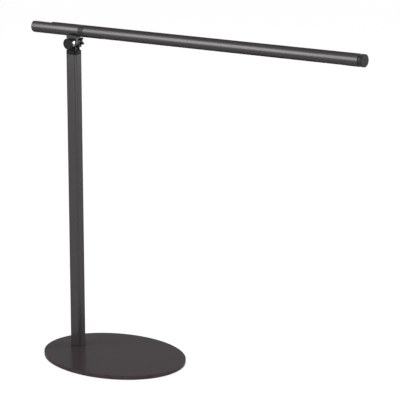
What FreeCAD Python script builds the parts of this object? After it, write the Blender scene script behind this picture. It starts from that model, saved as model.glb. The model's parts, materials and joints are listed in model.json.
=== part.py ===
import FreeCAD, Part
import math
import os

# LED table lamp: an oval steel foot, a rounded post, a clamped tilt hinge and a slim light bar
# that also turns about its own axis. Millimetres and degrees, +Z up, +X along the light bar.
# The origin is the centre of the foot's underside.

# Foot
base_length = 207.0
base_width = 164.0
plate_thickness = 5.0
plate_edge_round = 0.6
pad_thickness = 1.0
pad_inset = 2.0

# Post
post_setback = 38.5
post_depth = 18.0
post_width = 14.0
post_corner = 4.0
post_wall = 1.2
post_height = 402.0

# Screws that hold the post on the foot
foot_insert_height = 16.0
foot_screw_radius = 2.0
foot_screw_length = 17.0
foot_screw_head_radius = 3.75
foot_screw_head_height = 1.9
foot_screw_spacing = 9.0

# Low-voltage inlet in the rear of the post
inlet_height = 34.0
inlet_flange_radius = 3.4
inlet_flange_thickness = 0.8
inlet_body_radius = 2.7
inlet_body_length = 11.0
inlet_bore_radius = 1.85
inlet_bore_depth = 9.0
inlet_pin_radius = 0.65
inlet_pin_setback = 1.0
inlet_nut_radius = 3.3
inlet_nut_thickness = 1.8

# Fork on top of the post
pivot_rise = 14.8
collar_height = 5.3
collar_chamfer = 0.8
spigot_length = 22.0
fork_foot_depth = 14.0
fork_width = 9.4
ear_radius = 5.6
fork_screw_radius = 1.5
fork_screw_length = 6.0
fork_screw_drop = 11.0

# Hinge bolt, its washers and its clamp knob
bolt_radius = 2.5
bolt_head_radius = 4.2
bolt_head_thickness = 1.6
bolt_end_cover = 1.6
washer_radius = 5.4
washer_thickness = 0.6
sleeve_radius = 6.9
sleeve_length = 3.7
friction_washer_thickness = 0.5
head_cap_radius = 7.3
head_cap_wall = 2.1
head_cap_round = 0.5
knob_radius = 7.4
knob_hub_radius = 4.4
knob_hub_length = 3.0
knob_thickness = 4.6
knob_edge_chamfer = 0.6
knob_notch_radius = 2.2
knob_notch_depth = 2.9
knob_lobes = 6
knob_first_notch = 13.0
knob_insert_radius = 3.6

# Neck under the light bar
tongue_thickness = 4.0
neck_length = 17.5
neck_width = 9.5
neck_height = 8.9
neck_screw_radius = 1.5
neck_screw_head_radius = 2.75
neck_screw_head_height = 1.6
neck_screw_length = 6.4
neck_screw_spacing = 6.0
lead_bore_radius = 1.3
neck_lead_edge = 1.75

# Light bar and tail, measured along the bar from the point above the pivot
arm_rise = 1.6
bar_radius = 8.0
bar_reach = 459.0
tail_reach = 68.4
tail_wall = 1.6
bar_wall = 1.4
tail_cap_length = 2.4
tail_cap_plug = 7.0
tail_cap_round = 1.6
end_cap_length = 3.2
end_cap_plug = 8.0
end_cap_round = 0.3
seam_width = 3.2
seam_depth = 0.7

# Bright strip in the top of the tail, with the switch's button in it
flat_depth = 0.5
flat_length = 31.0
switch_plate_thickness = 0.6
button_length = 12.0
button_width = 3.0
button_proud = 0.3
button_round = 0.2
button_edge_gap = 2.0
button_lip = 0.6
button_lip_thickness = 1.58
button_travel = 0.8
plunger_radius = 1.6
plunger_length = 2.0
tact_size = 6.0
tact_height = 3.8
board_thickness = 1.2
board_front_gap = 4.85

# Turning joint between the tail and the light bar
collar_start = 14.3
collar_length = 8.2
collar_edge_chamfer = 0.3
journal_radius = 4.5
journal_bore = 2.0
journal_plug_length = 6.3
journal_overhang = 1.2
bush_length = 16.0
clip_width = 1.0
clip_height = 1.1
clip_groove_depth = 0.5
clip_opening = 5.0
friction_ring_width = 1.6
friction_ring_depth = 0.7
friction_ring_place = 8.0
stop_pin_radius = 0.5
stop_pin_reach = 1.8
stop_pin_seat = 2.5
twist_limit = 150.0

# Light source
slot_half_width = 3.4
slot_margin = 10.0
lens_lip = 1.5
lens_thickness = 1.5
led_board_width = 8.0
led_board_thickness = 1.0
led_board_height = 0.2
led_length = 3.5
led_width = 2.8
led_thickness = 0.8
led_pitch = 10.0
led_end_margin = 3.0
carrier_channel_radius = 1.6
lead_radius = 1.1

# Fits
seat_play = 0.05
running_play = 0.05
moving_gap = 0.3
hinge_gap = 0.4
button_play = 0.2
overrun = 5.0

# Levels and places that follow from the sizes above
base_top = pad_thickness + plate_thickness
post_x = post_setback - base_length / 2
post_top = base_top + post_height
pivot_z = post_top + pivot_rise
arm_offset = neck_height + bar_radius
axis_z = pivot_z + arm_offset
collar_top = post_top + collar_height
inner_depth = post_depth - 2 * post_wall
inner_width = post_width - 2 * post_wall
inner_corner = post_corner - post_wall
slot_width = tongue_thickness + 2 * (friction_washer_thickness + 2 * seat_play)
ear_face = fork_width / 2
tail_inner = bar_radius - tail_wall
bar_inner = bar_radius - bar_wall
flat_level = bar_radius - flat_depth
flat_half = math.sqrt(bar_radius ** 2 - flat_level ** 2)
plate_floor = flat_level - switch_plate_thickness
tail_tube_start = -tail_reach + tail_cap_length
flat_rear = -tail_reach + tail_cap_round
flat_front = tail_tube_start + flat_length
collar_end = collar_start + collar_length
bar_start = collar_end + moving_gap
bar_end = bar_reach - end_cap_length - seam_width
bush_end = bar_start + bush_length
clip_start = bush_end + seat_play
journal_end = clip_start + clip_width + journal_overhang
slot_start = journal_end + slot_margin
slot_end = bar_end - end_cap_plug - slot_margin

UP = FreeCAD.Vector(0, 0, 1)
ALONG = FreeCAD.Vector(1, 0, 0)
ACROSS = FreeCAD.Vector(0, 1, 0)
PIVOT = FreeCAD.Vector(post_x, 0, pivot_z)
PARTS_FOLDER = "parts"


def point(x, y, z):
    return FreeCAD.Vector(x, y, z)


def block(x_span, y_span, z_span):
    """A box between the low and high values of each span."""
    corner = point(x_span[0], y_span[0], z_span[0])
    return Part.makeBox(x_span[1] - x_span[0], y_span[1] - y_span[0], z_span[1] - z_span[0], corner)


def rod(radius, start, direction, length):
    return Part.makeCylinder(radius, length, start, direction)


def ring(outer, inner, start, direction, length):
    bore_start = start - direction * overrun
    return rod(outer, start, direction, length).cut(rod(inner, bore_start, direction, length + 2 * overrun))


def group(shapes):
    return Part.makeCompound(shapes)


def rounded_prism(depth, width, corner, low, high):
    """An upright prism on the post's axis, with rounded corners."""
    prism = block((post_x - depth / 2, post_x + depth / 2), (-width / 2, width / 2), (low, high))
    upright = [edge for edge in prism.Edges if edge.BoundBox.ZLength > (high - low) / 2]
    return prism.makeFillet(corner, upright)


def oval(length, width, low, high):
    """An upright elliptical disc on the origin."""
    outline = Part.Ellipse(point(0, 0, low), length / 2, width / 2).toShape()
    return Part.Face(Part.Wire([outline])).extrude(UP * (high - low))


def edges_at(shape, axis, level):
    """The edges that lie wholly in the plane where the named axis has the given value."""
    found = []
    for edge in shape.Edges:
        span = (getattr(edge.BoundBox, axis + "Min"), getattr(edge.BoundBox, axis + "Max"))
        if max(abs(span[0] - level), abs(span[1] - level)) < seat_play:
            found.append(edge)
    return found


def profile(points, y_span):
    """A closed outline of (x, z) points, extruded across the lamp."""
    corners = [point(x, y_span[0], z) for x, z in points]
    wire = Part.makePolygon(corners + corners[:1])
    return Part.Face(wire).extrude(ACROSS * (y_span[1] - y_span[0]))


def bar_point(along, across=0, height=0):
    """A point of the untilted arm: distance along the bar, across it and above its axis."""
    return point(post_x + along, across, axis_z + height)


def bar_rod(radius, start, end, across=0, height=0):
    return rod(radius, bar_point(start, across, height), ALONG, end - start)


def bar_ring(outer, inner, start, end):
    return ring(outer, inner, bar_point(start), ALONG, end - start)


def bar_block(along, across, height):
    x_span = (post_x + along[0], post_x + along[1])
    return block(x_span, across, (axis_z + height[0], axis_z + height[1]))


def stadium(length, width, place, low, high):
    """An upright prism with half-round ends, centred at a place along the bar."""
    half = width / 2
    reach = length / 2 - half
    body = bar_block((place - reach, place + reach), (-half, half), (low, high))
    for end in (place - reach, place + reach):
        body = body.fuse(rod(half, bar_point(end, 0, low), UP, high - low))
    return body.removeSplitter()


def chord_half(radius, height):
    return math.sqrt(radius ** 2 - height ** 2)


def save(name, shape):
    shape.exportStep(os.path.join(PARTS_FOLDER, name + ".step"))


def save_arm(name, shape):
    """Saves a piece of the tilting arm, turned to the angle at which the lamp rests."""
    turned = shape.copy()
    turned.rotate(PIVOT, ACROSS * -1, arm_rise)
    save(name, turned)


# Foot

def foot_screw_places():
    return [post_x - foot_screw_spacing / 2, post_x + foot_screw_spacing / 2]


def foot_screw(x, play):
    """A countersunk screw whose head is flush with the plate's underside."""
    start = point(x, 0, pad_thickness)
    shank = rod(foot_screw_radius + play, start, UP, foot_screw_length + play)
    wide, narrow = foot_screw_head_radius + play, foot_screw_radius + play
    head = Part.makeCone(wide, narrow, foot_screw_head_height, start, UP)
    return shank.fuse(head).removeSplitter()


def make_base_plate():
    plate = oval(base_length, base_width, pad_thickness, base_top)
    rims = edges_at(plate, "Z", pad_thickness) + edges_at(plate, "Z", base_top)
    plate = plate.makeFillet(plate_edge_round, rims)
    for x in foot_screw_places():
        plate = plate.cut(foot_screw(x, seat_play))
    return plate


def make_base_pad():
    return oval(base_length - 2 * pad_inset, base_width - 2 * pad_inset, 0, pad_thickness)


def make_foot_insert():
    depth = inner_depth - 2 * seat_play
    width = inner_width - 2 * seat_play
    insert = rounded_prism(depth, width, inner_corner - seat_play, base_top, base_top + foot_insert_height)
    for x in foot_screw_places():
        insert = insert.cut(foot_screw(x, seat_play))
    return insert


# Post and its inlet

def rear_face():
    return post_x - post_depth / 2


def fork_screw_height():
    return post_top - fork_screw_drop


def make_post_tube():
    tube = rounded_prism(post_depth, post_width, post_corner, base_top, post_top)
    low, high = base_top - overrun, post_top + overrun
    tube = tube.cut(rounded_prism(inner_depth, inner_width, inner_corner, low, high))
    rear = rear_face() - overrun
    through = overrun + 2 * post_wall
    tube = tube.cut(rod(inlet_body_radius + seat_play, point(rear, 0, inlet_height), ALONG, through))
    return tube.cut(rod(fork_screw_radius + seat_play, point(rear, 0, fork_screw_height()), ALONG, through))


def make_inlet_socket():
    mouth = point(rear_face() - inlet_flange_thickness, 0, inlet_height)
    socket = rod(inlet_flange_radius, mouth, ALONG, inlet_flange_thickness)
    socket = socket.fuse(rod(inlet_body_radius, mouth, ALONG, inlet_body_length))
    socket = socket.cut(rod(inlet_bore_radius, mouth - ALONG * overrun, ALONG, inlet_bore_depth + overrun))
    return socket.removeSplitter()


def make_inlet_pin():
    start = point(rear_face() - inlet_flange_thickness + inlet_pin_setback, 0, inlet_height)
    return rod(inlet_pin_radius, start, ALONG, inlet_bore_depth - inlet_pin_setback)


def make_inlet_nut():
    start = point(rear_face() + post_wall + seat_play, 0, inlet_height)
    return ring(inlet_nut_radius, inlet_body_radius + seat_play, start, ALONG, inlet_nut_thickness)


def lead_place():
    """Where the supply lead stands in the post: at the inner end of the inlet."""
    return rear_face() - inlet_flange_thickness + inlet_body_length - lead_radius


def slot_floor():
    return pivot_z - ear_radius - moving_gap


def make_post_lead():
    """Supply lead inside the post, from the inlet up through the bore of the fork."""
    low = inlet_height + inlet_body_radius
    return rod(lead_radius, point(lead_place(), 0, low), UP, slot_floor() - moving_gap - low)


# Fork, hinge bolt and clamp knob

def make_hinge_fork():
    depth = inner_depth - 2 * seat_play
    width = inner_width - 2 * seat_play
    spigot_low = post_top - spigot_length
    fork = rounded_prism(depth, width, inner_corner - seat_play, spigot_low, post_top)
    collar = rounded_prism(post_depth, post_width, post_corner, post_top, collar_top)
    collar = collar.makeChamfer(collar_chamfer, edges_at(collar, "Z", collar_top))
    outline = [
        (post_x - fork_foot_depth / 2, collar_top),
        (post_x + fork_foot_depth / 2, collar_top),
        (post_x + ear_radius, pivot_z),
        (post_x - ear_radius, pivot_z),
    ]
    ears = profile(outline, (-ear_face, ear_face))
    ears = ears.fuse(rod(ear_radius, point(post_x, -ear_face, pivot_z), ACROSS, fork_width))
    slot_x = (post_x - post_depth, post_x + post_depth)
    slot = block(slot_x, (-slot_width / 2, slot_width / 2), (slot_floor(), pivot_z + post_depth))
    fork = fork.fuse(collar).fuse(ears).cut(slot).cut(bolt_bore())
    bore_start = point(lead_place(), 0, spigot_low - overrun)
    fork = fork.cut(rod(lead_bore_radius, bore_start, UP, slot_floor() + overrun - bore_start.z))
    screw_start = point(rear_face(), 0, fork_screw_height())
    screw_hole = rod(fork_screw_radius + seat_play, screw_start, ALONG, fork_screw_length)
    return fork.cut(screw_hole).removeSplitter()


def bolt_bore():
    reach = fork_width + overrun
    return rod(bolt_radius + running_play, point(post_x, -reach, pivot_z), ACROSS, 2 * reach)


def make_fork_screw():
    start = point(rear_face(), 0, fork_screw_height())
    return rod(fork_screw_radius, start, ALONG, fork_screw_length - seat_play)


def sleeve_face():
    return ear_face + washer_thickness + sleeve_length


def knob_face():
    """The inner face of the clamp knob."""
    return ear_face + washer_thickness + seat_play


def knob_end():
    return knob_face() + knob_hub_length + knob_thickness


def make_hinge_bolt():
    head_start = point(post_x, -sleeve_face() - bolt_head_thickness, pivot_z)
    bolt = rod(bolt_head_radius, head_start, ACROSS, bolt_head_thickness)
    shank_end = knob_end() - bolt_end_cover
    return bolt.fuse(rod(bolt_radius, head_start, ACROSS, shank_end - head_start.y)).removeSplitter()


def make_head_cap():
    """Round cover pressed over the bolt's head."""
    outer = -sleeve_face() - bolt_head_thickness - head_cap_wall
    inner = -sleeve_face() - seat_play
    cap = rod(head_cap_radius, point(post_x, outer, pivot_z), ACROSS, inner - outer)
    cap = cap.makeFillet(head_cap_round, edges_at(cap, "Y", outer))
    pocket_start = point(post_x, outer + head_cap_wall, pivot_z)
    return cap.cut(rod(bolt_head_radius + seat_play, pocket_start, ACROSS, overrun))


def make_bolt_sleeve():
    start = point(post_x, -sleeve_face(), pivot_z)
    return ring(sleeve_radius, bolt_radius + running_play, start, ACROSS, sleeve_length)


def make_bolt_washers():
    near = point(post_x, -ear_face - washer_thickness, pivot_z)
    far = point(post_x, ear_face, pivot_z)
    inner = bolt_radius + running_play
    return group([ring(washer_radius, inner, start, ACROSS, washer_thickness) for start in (near, far)])


def make_friction_washers():
    inner = bolt_radius + running_play
    gap = tongue_thickness / 2 + seat_play
    near = point(post_x, -gap - friction_washer_thickness, pivot_z)
    far = point(post_x, gap, pivot_z)
    thickness = friction_washer_thickness
    return group([ring(washer_radius, inner, start, ACROSS, thickness) for start in (near, far)])


def make_hinge_knob():
    """Scalloped knob that clamps the hinge, with a blind hole for its threaded insert."""
    hub_start = point(post_x, knob_face(), pivot_z)
    grip_start = point(post_x, knob_face() + knob_hub_length, pivot_z)
    grip = rod(knob_radius, grip_start, ACROSS, knob_thickness)
    rims = edges_at(grip, "Y", grip_start.y) + edges_at(grip, "Y", knob_end())
    grip = grip.makeChamfer(knob_edge_chamfer, rims)
    notch_circle = knob_radius - knob_notch_depth + knob_notch_radius
    for lobe in range(knob_lobes):
        angle = math.radians(knob_first_notch + lobe * 360 / knob_lobes)
        x = post_x + notch_circle * math.cos(angle)
        z = pivot_z + notch_circle * math.sin(angle)
        notch_start = point(x, grip_start.y - overrun, z)
        grip = grip.cut(rod(knob_notch_radius, notch_start, ACROSS, knob_thickness + 2 * overrun))
    knob = grip.fuse(rod(knob_hub_radius, hub_start, ACROSS, knob_hub_length + knob_edge_chamfer))
    hole = knob_end() - bolt_end_cover + seat_play - hub_start.y
    return knob.cut(rod(knob_insert_radius + seat_play, hub_start, ACROSS, hole)).removeSplitter()


def make_knob_insert():
    start = point(post_x, knob_face(), pivot_z)
    length = knob_end() - bolt_end_cover - knob_face()
    return ring(knob_insert_radius, bolt_radius + running_play, start, ACROSS, length)


# Neck

def neck_screw_places():
    return [-neck_screw_spacing / 2, neck_screw_spacing / 2]


def neck_screw(place, play):
    """A screw from inside the tail down into the neck; its head sits on the bowed wall."""
    seat = -chord_half(tail_inner, neck_screw_head_radius)
    head = rod(neck_screw_head_radius, bar_point(place, 0, seat), UP, neck_screw_head_height)
    low = -tail_inner - neck_screw_length
    shank = rod(neck_screw_radius + play, bar_point(place, 0, low - play), UP, seat - low + play)
    return head.fuse(shank).removeSplitter()


def neck_lead_place():
    return -neck_length / 2 + neck_lead_edge


def neck_lead_bore():
    low = bar_point(neck_lead_place(), 0, -arm_offset)
    return rod(lead_bore_radius, low, UP, arm_offset - tail_inner + tail_wall + lead_bore_radius)


def make_hinge_neck():
    low = pivot_z + ear_radius + hinge_gap
    x_span = (post_x - neck_length / 2, post_x + neck_length / 2)
    neck = block(x_span, (-neck_width / 2, neck_width / 2), (low, axis_z))
    half = tongue_thickness / 2
    tongue = block((post_x - ear_radius, post_x + ear_radius), (-half, half), (pivot_z, low))
    knuckle = rod(ear_radius, point(post_x, -half, pivot_z), ACROSS, tongue_thickness)
    neck = neck.fuse(tongue).fuse(knuckle)
    neck = neck.cut(bar_rod(bar_radius, -neck_length, neck_length))
    neck = neck.cut(bolt_bore()).cut(neck_lead_bore())
    for place in neck_screw_places():
        neck = neck.cut(neck_screw(place, seat_play))
    return neck.removeSplitter()


# Tail and its switch

def button_place():
    return flat_front - button_edge_gap - button_length / 2


def flat_cut(start, end, level):
    return bar_block((start, end), (-flat_half, flat_half), (level, bar_radius + overrun))


def make_tail_tube():
    tube = bar_ring(bar_radius, tail_inner, tail_tube_start, collar_start)
    tube = tube.cut(flat_cut(tail_tube_start - overrun, flat_front, plate_floor))
    tube = tube.cut(button_hole(0)).cut(neck_lead_bore())
    for place in neck_screw_places():
        tube = tube.cut(neck_screw(place, seat_play))
    return tube


def make_tail_cap():
    cap = bar_rod(bar_radius, -tail_reach, tail_tube_start)
    cap = cap.makeFillet(tail_cap_round, edges_at(cap, "X", post_x - tail_reach))
    plug = bar_rod(tail_inner - seat_play, tail_tube_start, tail_tube_start + tail_cap_plug)
    cap = cap.fuse(plug)
    return cap.cut(flat_cut(-tail_reach - overrun, tail_tube_start, plate_floor)).removeSplitter()


def button_hole(low):
    length = button_length + 2 * button_play
    width = button_width + 2 * button_play
    return stadium(length, width, button_place(), low, bar_radius + overrun)


def make_switch_plate():
    half = flat_half - seat_play
    along = (flat_rear + seat_play, flat_front - seat_play)
    plate = bar_block(along, (-half, half), (plate_floor, flat_level))
    return plate.cut(button_hole(plate_floor - overrun))


def button_lip_top():
    """The lip stays under the round inside of the tail's wall."""
    return chord_half(tail_inner, button_width / 2 + button_lip) - seat_play


def button_bottom():
    return button_lip_top() - button_lip_thickness


def make_switch_button():
    top = flat_level + button_proud
    button = stadium(button_length, button_width, button_place(), button_bottom(), top)
    button = button.makeFillet(button_round, edges_at(button, "Z", axis_z + top))
    length = button_length + 2 * button_lip
    width = button_width + 2 * button_lip
    lip = stadium(length, width, button_place(), button_bottom(), button_lip_top())
    return button.fuse(lip).removeSplitter()


def make_switch_plunger():
    low = bar_point(button_place(), 0, button_bottom() - plunger_length)
    return rod(plunger_radius, low, UP, plunger_length)


def tact_top():
    return button_bottom() - button_travel - moving_gap


def board_top():
    return tact_top() - tact_height


def make_tact_switch():
    half = tact_size / 2
    along = (button_place() - half, button_place() + half)
    switch = bar_block(along, (-half, half), (board_top(), tact_top()))
    floor = button_bottom() - plunger_length - button_travel - moving_gap
    well = bar_point(button_place(), 0, floor)
    return switch.cut(rod(plunger_radius + running_play, well, UP, tact_height))


def board_start():
    return tail_tube_start + tail_cap_plug + seat_play


def board_length():
    return neck_lead_place() - lead_radius - board_front_gap - board_start()


def make_control_board():
    low = board_top() - board_thickness
    half = chord_half(tail_inner, max(abs(low), abs(board_top()))) - seat_play
    along = (board_start(), board_start() + board_length())
    return bar_block(along, (-half, half), (low, board_top()))


def make_board_parts():
    """Driver chip, coil and smoothing capacitors under the board, as shares of the board's length."""
    chip_share, coil_share = 0.2, 0.45
    capacitor_shares = (0.65, 0.75, 0.85)
    part_height_share, chip_size_share, capacitor_share = 0.5, 0.35, 0.16
    room = tail_inner + board_top() - board_thickness
    height = room * part_height_share
    under = board_top() - board_thickness - height
    half = tail_inner * chip_size_share
    place = board_start() + board_length() * chip_share
    parts = [bar_block((place - half, place + half), (-half, half), (under, under + height))]
    coil = bar_point(board_start() + board_length() * coil_share, 0, under)
    parts.append(rod(half, coil, UP, height))
    for share in capacitor_shares:
        start = bar_point(board_start() + board_length() * share, 0, under)
        parts.append(rod(tail_inner * capacitor_share, start, UP, height))
    return group(parts)


def lead_height():
    return board_top() + lead_radius


def make_tail_lead():
    """Lead from the board through the hollow journal."""
    start = board_start() + board_length() - tact_size
    return bar_rod(lead_radius, start, journal_end, 0, lead_height())


def make_neck_lead():
    """Short lead that rises through the neck to the lead in the tail."""
    low = ear_radius + hinge_gap - arm_offset
    start = bar_point(neck_lead_place(), 0, low)
    return rod(lead_radius, start, UP, lead_height() - lead_radius - low)


# Turning joint

def journal_groove(start, width, depth):
    return bar_ring(journal_radius + overrun, journal_radius - depth, start, start + width)


def friction_ring_start():
    return bar_start + friction_ring_place


def stop_circle():
    """Radius at which the stop pin runs, midway between the journal and the bar's inside."""
    return (journal_radius + bar_inner) / 2


def make_swivel_journal():
    plug_start = collar_start - journal_plug_length
    journal = bar_rod(tail_inner - seat_play, plug_start, collar_start)
    journal = journal.fuse(bar_rod(journal_radius, plug_start, journal_end))
    journal = journal.cut(bar_rod(journal_bore, plug_start - overrun, journal_end + overrun))
    journal = journal.cut(journal_groove(clip_start, clip_width, clip_groove_depth))
    journal = journal.cut(journal_groove(friction_ring_start(), friction_ring_width, friction_ring_depth))
    return journal.removeSplitter()


def make_twist_collar():
    collar = bar_rod(bar_radius, collar_start, collar_end)
    rims = edges_at(collar, "X", post_x + collar_start) + edges_at(collar, "X", post_x + collar_end)
    collar = collar.makeChamfer(collar_edge_chamfer, rims)
    collar = collar.cut(bar_rod(journal_radius + seat_play, collar_start - overrun, collar_end + overrun))
    seat = collar_end - stop_pin_seat
    return collar.cut(bar_rod(stop_pin_radius + seat_play, seat, collar_end + overrun, 0, stop_circle()))


def make_stop_pin():
    start = collar_end - stop_pin_seat
    return bar_rod(stop_pin_radius, start, bar_start + stop_pin_reach, 0, stop_circle())


def make_friction_ring():
    start = friction_ring_start() + seat_play
    end = friction_ring_start() + friction_ring_width - seat_play
    return bar_ring(journal_radius, journal_radius - friction_ring_depth + seat_play, start, end)


def make_journal_clip():
    """Open spring ring in the journal's groove, in front of the bush."""
    inner = journal_radius - clip_groove_depth + seat_play
    outer = inner + clip_height
    clip = bar_ring(outer, inner, clip_start + seat_play, clip_start + clip_width - seat_play)
    opening = (-clip_opening / 2, clip_opening / 2)
    return clip.cut(bar_block((clip_start - overrun, journal_end), opening, (0, bar_radius)))


def make_bar_bush():
    bush = bar_ring(bar_inner - seat_play, journal_radius + running_play, bar_start, bush_end)
    reach = stop_pin_radius + 2 * running_play
    groove_end = bar_start + stop_pin_reach + moving_gap
    groove = bar_ring(stop_circle() + reach, stop_circle() - reach, bar_start - overrun, groove_end)
    web_half = stop_circle() * math.sin(math.radians(twist_limit)) - stop_pin_radius - 2 * running_play
    web = bar_block((bar_start - overrun, groove_end), (-web_half, web_half), (-bar_radius, 0))
    return bush.cut(groove.cut(web))


# Light bar

def make_bar_tube():
    tube = bar_ring(bar_radius, bar_inner, bar_start, bar_end)
    across = (-slot_half_width, slot_half_width)
    return tube.cut(bar_block((slot_start, slot_end), across, (-bar_radius - overrun, 0)))


def carrier_floor():
    return led_board_height + led_board_thickness


def make_led_carrier():
    """Aluminium half-round that spreads the heat, with a channel for the lead."""
    carrier = bar_rod(bar_inner - seat_play, slot_start, slot_end)
    along = (slot_start - overrun, slot_end + overrun)
    below = bar_block(along, (-bar_radius, bar_radius), (-bar_radius, carrier_floor()))
    channel_height = (carrier_floor() + bar_inner) / 2
    channel = bar_rod(carrier_channel_radius, along[0], along[1], 0, channel_height)
    return carrier.cut(below).cut(channel)


def make_led_board():
    half = led_board_width / 2
    return bar_block((slot_start, slot_end), (-half, half), (led_board_height, carrier_floor()))


def make_led_chips():
    first = slot_start + led_end_margin
    last = slot_end - led_end_margin - led_length
    count = int((last - first) // led_pitch) + 1
    half = led_width / 2
    chips = []
    for index in range(count):
        start = first + index * led_pitch
        heights = (led_board_height - led_thickness, led_board_height)
        chips.append(bar_block((start, start + led_length), (-half, half), heights))
    return group(chips)


def make_diffuser():
    """Opal strip flush with the bar's round underside, held by lips inside the slot."""
    along = (slot_start + seat_play, slot_end - seat_play)
    window_half = slot_half_width - seat_play
    lip_half = slot_half_width + lens_lip
    inner = bar_inner - lens_thickness
    window = bar_ring(bar_radius, inner, along[0], along[1])
    window = window.common(bar_block(along, (-window_half, window_half), (-bar_radius, 0)))
    lips = bar_ring(bar_inner - seat_play, inner, along[0], along[1])
    lips = lips.common(bar_block(along, (-lip_half, lip_half), (-bar_radius, 0)))
    return window.fuse(lips).removeSplitter()


def make_bar_end_cap():
    cap = bar_rod(bar_radius, bar_end + seam_width, bar_reach)
    cap = cap.makeFillet(end_cap_round, edges_at(cap, "X", post_x + bar_reach))
    cap = cap.fuse(bar_rod(bar_radius - seam_depth, bar_end, bar_end + seam_width))
    return cap.fuse(bar_rod(bar_inner - seat_play, bar_end - end_cap_plug, bar_end)).removeSplitter()


def make_bar_lead():
    """Lead from the journal's mouth to the LED board."""
    height = carrier_floor() - led_board_thickness / 2
    return bar_rod(lead_radius, journal_end + moving_gap, slot_start, 0, height)


def main():
    os.makedirs(PARTS_FOLDER, exist_ok=True)
    fixed = {
        "base_plate": make_base_plate,
        "base_pad": make_base_pad,
        "foot_insert": make_foot_insert,
        "post_tube": make_post_tube,
        "inlet_socket": make_inlet_socket,
        "inlet_pin": make_inlet_pin,
        "inlet_nut": make_inlet_nut,
        "post_lead": make_post_lead,
        "hinge_fork": make_hinge_fork,
        "fork_screw": make_fork_screw,
        "hinge_bolt": make_hinge_bolt,
        "head_cap": make_head_cap,
        "bolt_sleeve": make_bolt_sleeve,
        "bolt_washers": make_bolt_washers,
        "friction_washers": make_friction_washers,
        "hinge_knob": make_hinge_knob,
        "knob_insert": make_knob_insert,
    }
    arm = {
        "hinge_neck": make_hinge_neck,
        "tail_tube": make_tail_tube,
        "tail_cap": make_tail_cap,
        "switch_plate": make_switch_plate,
        "switch_button": make_switch_button,
        "switch_plunger": make_switch_plunger,
        "tact_switch": make_tact_switch,
        "control_board": make_control_board,
        "board_parts": make_board_parts,
        "tail_lead": make_tail_lead,
        "neck_lead": make_neck_lead,
        "swivel_journal": make_swivel_journal,
        "twist_collar": make_twist_collar,
        "stop_pin": make_stop_pin,
        "friction_ring": make_friction_ring,
        "journal_clip": make_journal_clip,
        "bar_bush": make_bar_bush,
        "bar_tube": make_bar_tube,
        "led_carrier": make_led_carrier,
        "led_board": make_led_board,
        "led_chips": make_led_chips,
        "diffuser": make_diffuser,
        "bar_end_cap": make_bar_end_cap,
        "bar_lead": make_bar_lead,
    }
    save("foot_screws", group([foot_screw(x, 0) for x in foot_screw_places()]))
    save_arm("neck_screws", group([neck_screw(place, 0) for place in neck_screw_places()]))
    for name, make in fixed.items():
        save(name, make())
    for name, make in arm.items():
        save_arm(name, make())


main()
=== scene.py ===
"""Visible surfaces, finishes and studio of a slim LED table lamp, in metres, in the lamp's own frame."""

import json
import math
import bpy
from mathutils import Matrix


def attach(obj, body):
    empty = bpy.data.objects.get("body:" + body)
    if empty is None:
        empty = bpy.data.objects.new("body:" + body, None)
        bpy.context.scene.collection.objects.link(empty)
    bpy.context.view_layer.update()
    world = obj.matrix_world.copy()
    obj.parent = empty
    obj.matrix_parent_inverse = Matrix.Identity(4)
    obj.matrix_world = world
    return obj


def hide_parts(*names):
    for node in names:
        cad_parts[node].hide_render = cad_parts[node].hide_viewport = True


bl_info = {
    "name": "LED table lamp",
    "version": (1, 0, 0),
    "blender": (4, 5, 0),
    "location": "View3D > Sidebar > Lamp",
    "description": "Builds the lamp's finished surfaces, its materials and a plain studio",
    "category": "Object",
}

import bmesh
import bpy
import numpy as np
from bpy.props import FloatProperty, FloatVectorProperty, PointerProperty
from mathutils import Vector

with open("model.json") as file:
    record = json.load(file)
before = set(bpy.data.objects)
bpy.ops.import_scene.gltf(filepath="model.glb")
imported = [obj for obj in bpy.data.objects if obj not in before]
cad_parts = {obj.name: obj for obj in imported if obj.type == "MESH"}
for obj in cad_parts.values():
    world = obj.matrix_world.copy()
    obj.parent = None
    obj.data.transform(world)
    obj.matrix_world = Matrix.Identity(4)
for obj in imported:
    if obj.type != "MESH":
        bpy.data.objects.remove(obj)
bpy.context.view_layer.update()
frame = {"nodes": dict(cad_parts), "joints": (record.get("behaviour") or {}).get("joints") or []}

MM = 0.001
COLUMNS = 128
ARC_STEPS = 6
WHOLE_TURN = 2 * math.pi
SHARP_ANGLE = math.radians(32)
WELD = 1e-7
FIT = 0.05 * MM
MOVING_GAP = 0.3 * MM
WASHER = 0.6 * MM
OVERRUN = 1.0 * MM
PHOTO_WIDTH = 400
SENSOR = 36.0

JOINTS = {joint["name"]: joint for joint in frame["joints"]}
PIVOT = np.array(JOINTS["arm_tilt"]["pos_m"])
BAR_CENTRE = np.array(JOINTS["bar_twist"]["pos_m"])
BAR_AXIS = np.array(JOINTS["bar_twist"]["axis"])
BAR_TILT = math.atan2(BAR_AXIS[2], BAR_AXIS[0])
RIGHT, BACK, UP = np.eye(3)


# Frames of the pieces

def unit(vector):
    """The vector divided by its length."""
    return np.asarray(vector, float) / np.linalg.norm(vector)


def spot(origin, first, second):
    """A piece's own frame: an origin, and three square unit axes as rows."""
    first = unit(first)
    third = unit(np.cross(first, second))
    return np.asarray(origin, float), np.array([first, np.cross(third, first), third])


UPRIGHT = spot(np.zeros(3), RIGHT, BACK)
ARM = spot(BAR_CENTRE, BAR_AXIS, BACK)
HINGE_NEAR = spot(PIVOT, -BACK, RIGHT)
HINGE_FAR = spot(PIVOT, BACK, RIGHT)
HINGE_SIDE = spot(PIVOT, RIGHT, UP)


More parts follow.
